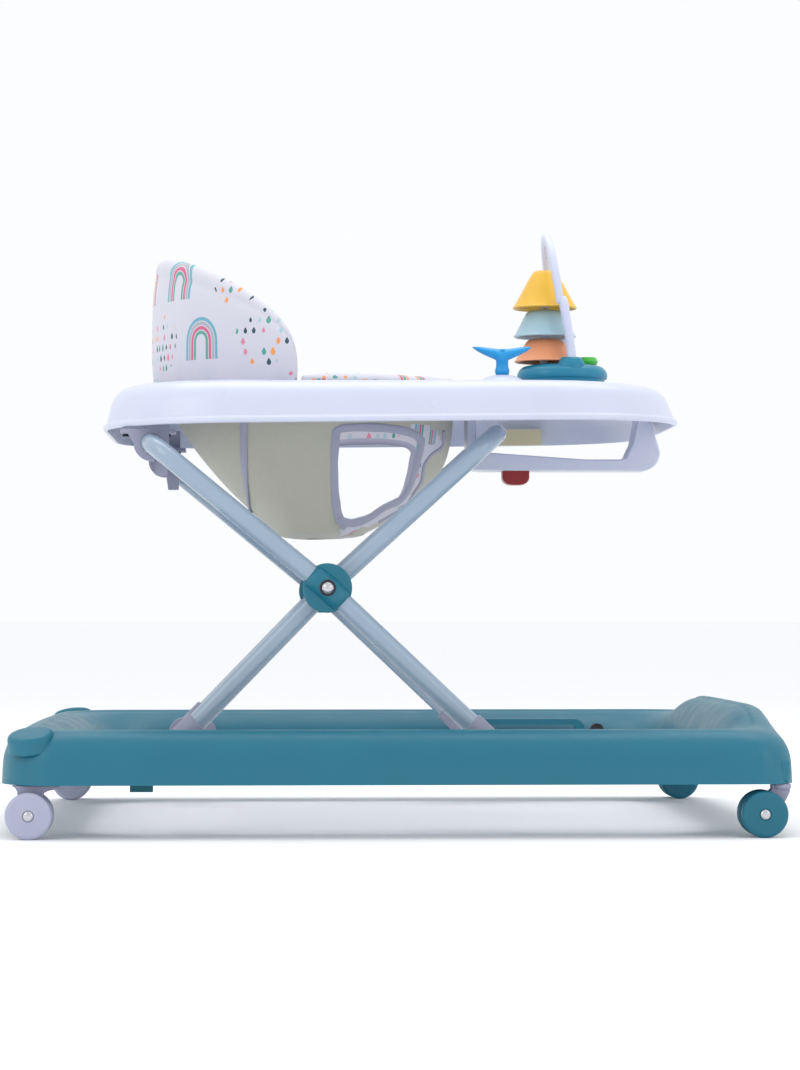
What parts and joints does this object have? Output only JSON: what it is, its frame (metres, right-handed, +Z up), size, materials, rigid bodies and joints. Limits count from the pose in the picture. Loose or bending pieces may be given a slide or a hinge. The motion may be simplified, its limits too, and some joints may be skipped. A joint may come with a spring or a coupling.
{
  "type": "baby walker",
  "caption": "Folding baby walker: moulded base ring on wheels and casters, crossed U-tube frame, tray with hanging seat, padded back and toy set.",
  "frame": {"origin": "on the floor, under the middle of the base", "axes": "+X to the walker's front, +Y to its left, +Z up"},
  "size_m": [0.71, 0.6104, 0.5685],
  "materials": {
    "base_teal": "satin moulded",
    "frame_paint": "gloss powder coat",
    "moulded_grey": "satin moulded",
    "rubber_black": "matte",
    "rubber_teal": "matte",
    "wheel_grey": "satin moulded",
    "wheel_teal": "satin moulded",
    "steel": "turned",
    "hub_teal": "satin moulded",
    "screw_dark": "black oxide",
    "tray_white": "satin gloss moulded",
    "button_red": "gloss moulded",
    "anchor_beige": "matte moulded",
    "seat_fabric": "woven polyester",
    "pad_fabric": "printed woven polyester",
    "toy_teal": "gloss moulded",
    "toy_green": "gloss moulded",
    "toy_white": "gloss moulded",
    "cup_orange": "gloss moulded",
    "cup_mint": "gloss moulded",
    "cup_yellow": "gloss moulded",
    "whale_blue": "gloss moulded"
  },
  "bodies": {
    "base": {"base_shell": "base_teal", "rear_foot_bracket_right": "moulded_grey", "rear_foot_bracket_left": "moulded_grey", "front_foot_track_right": "base_teal", "front_foot_track_left": "base_teal", "track_bumper_right": "rubber_black", "track_bumper_left": "rubber_black", "stopper_right": "rubber_teal", "stopper_left": "rubber_teal", "rear_wheel_bracket_right": "moulded_grey", "rear_wheel_bracket_left": "moulded_grey"},
    "lower_frame": {"lower_tube": "frame_paint", "rear_knuckle_right": "moulded_grey", "rear_knuckle_left": "moulded_grey", "hub_inner_cap_right": "hub_teal", "hub_inner_cap_left": "hub_teal"},
    "upper_frame": {"upper_tube": "frame_paint", "front_knuckle_right": "moulded_grey", "front_knuckle_left": "moulded_grey", "hub_cap_right": "hub_teal", "hub_cap_left": "hub_teal", "hub_rivet_right": "steel", "hub_rivet_left": "steel"},
    "tray": {"tray_shell": "tray_white", "height_rack": "tray_white", "strap_anchor": "anchor_beige", "seat_bag": "seat_fabric", "seat_rim": "seat_fabric", "backrest": "pad_fabric", "toy_base": "toy_teal", "leaf_ring": "toy_green", "stack_rod": "toy_white", "toy_arch": "toy_white", "whale_dome": "toy_white", "rear_tube_bracket_right": "moulded_grey", "rear_tube_bracket_left": "moulded_grey", "bracket_screw_rear_right": "screw_dark", "bracket_screw_rear_left": "screw_dark", "bracket_screw_front_right": "screw_dark", "bracket_screw_front_left": "screw_dark"},
    "height_button": {"height_button": "button_red"},
    "cup_bottom": {"cup_bottom": "cup_orange"},
    "cup_middle": {"cup_middle": "cup_mint"},
    "cup_top": {"cup_top": "cup_yellow"},
    "whale_tail": {"whale_tail": "whale_blue"},
    "rear_wheels_right": {"rear_wheel_outer_right": "wheel_grey", "rear_wheel_inner_right": "wheel_grey", "rear_axle_right": "steel"},
    "caster_right": {"caster_fork_right": "moulded_grey"},
    "front_wheels_right": {"front_wheel_outer_right": "wheel_teal", "front_wheel_inner_right": "wheel_teal", "front_axle_right": "steel"},
    "rear_wheels_left": {"rear_wheel_outer_left": "wheel_grey", "rear_wheel_inner_left": "wheel_grey", "rear_axle_left": "steel"},
    "caster_left": {"caster_fork_left": "moulded_grey"},
    "front_wheels_left": {"front_wheel_outer_left": "wheel_teal", "front_wheel_inner_left": "wheel_teal", "front_axle_left": "steel"}
  },
  "joints": [
    {"name": "frame_fold", "type": "hinge", "parent": "base", "child": "lower_frame", "pos_m": [-0.2026, 0, 0.0742], "axis": [0, 1, 0], "range_deg": [0, 32]},
    {"name": "hub_pivot", "type": "hinge", "parent": "lower_frame", "child": "upper_frame", "pos_m": [-0.0615, 0, 0.2198], "axis": [0, 1, 0], "range_deg": [-63, 0]},
    {"name": "tray_pivot", "type": "hinge", "parent": "upper_frame", "child": "tray", "pos_m": [-0.222, 0, 0.3521], "axis": [0, 1, 0], "range_deg": [0, 31]},
    {"name": "height_button_press", "type": "slide", "parent": "tray", "child": "height_button", "axis": [0, 0, 1], "range_m": [0, 0.007], "stiffness_N_per_m": 300},
    {"name": "cup_bottom_spin", "type": "hinge", "parent": "tray", "child": "cup_bottom", "pos_m": [0.154, 0, 0.48], "axis": [0, 0, 1], "continuous": true},
    {"name": "cup_middle_spin", "type": "hinge", "parent": "tray", "child": "cup_middle", "pos_m": [0.154, 0, 0.48], "axis": [0, 0, 1], "continuous": true},
    {"name": "cup_top_spin", "type": "hinge", "parent": "tray", "child": "cup_top", "pos_m": [0.154, 0, 0.48], "axis": [0, 0, 1], "continuous": true},
    {"name": "whale_tail_rock", "type": "hinge", "parent": "tray", "child": "whale_tail", "pos_m": [0.104, -0.112, 0.424], "axis": [0, 1, 0], "range_deg": [-15, 15], "stiffness_Nm_per_rad": 0.05},
    {"name": "rear_wheels_right_roll", "type": "hinge", "parent": "base", "child": "rear_wheels_right", "pos_m": [-0.323, -0.286, 0.0205], "axis": [0, 1, 0], "continuous": true},
    {"name": "caster_right_swivel", "type": "hinge", "parent": "base", "child": "caster_right", "pos_m": [0.337, -0.286, 0.04], "axis": [0, 0, 1], "continuous": true},
    {"name": "front_wheels_right_roll", "type": "hinge", "parent": "caster_right", "child": "front_wheels_right", "pos_m": [0.321, -0.286, 0.0205], "axis": [0, 1, 0], "continuous": true},
    {"name": "rear_wheels_left_roll", "type": "hinge", "parent": "base", "child": "rear_wheels_left", "pos_m": [-0.323, 0.286, 0.0205], "axis": [0, 1, 0], "continuous": true},
    {"name": "caster_left_swivel", "type": "hinge", "parent": "base", "child": "caster_left", "pos_m": [0.337, 0.286, 0.04], "axis": [0, 0, 1], "continuous": true},
    {"name": "front_wheels_left_roll", "type": "hinge", "parent": "caster_left", "child": "front_wheels_left", "pos_m": [0.321, 0.286, 0.0205], "axis": [0, 1, 0], "continuous": true}
  ],
  "couplings": [
    {"joint": "hub_pivot", "follows": "frame_fold", "ratio": -1.94},
    {"joint": "tray_pivot", "follows": "frame_fold", "ratio": 0.94}
  ]
}
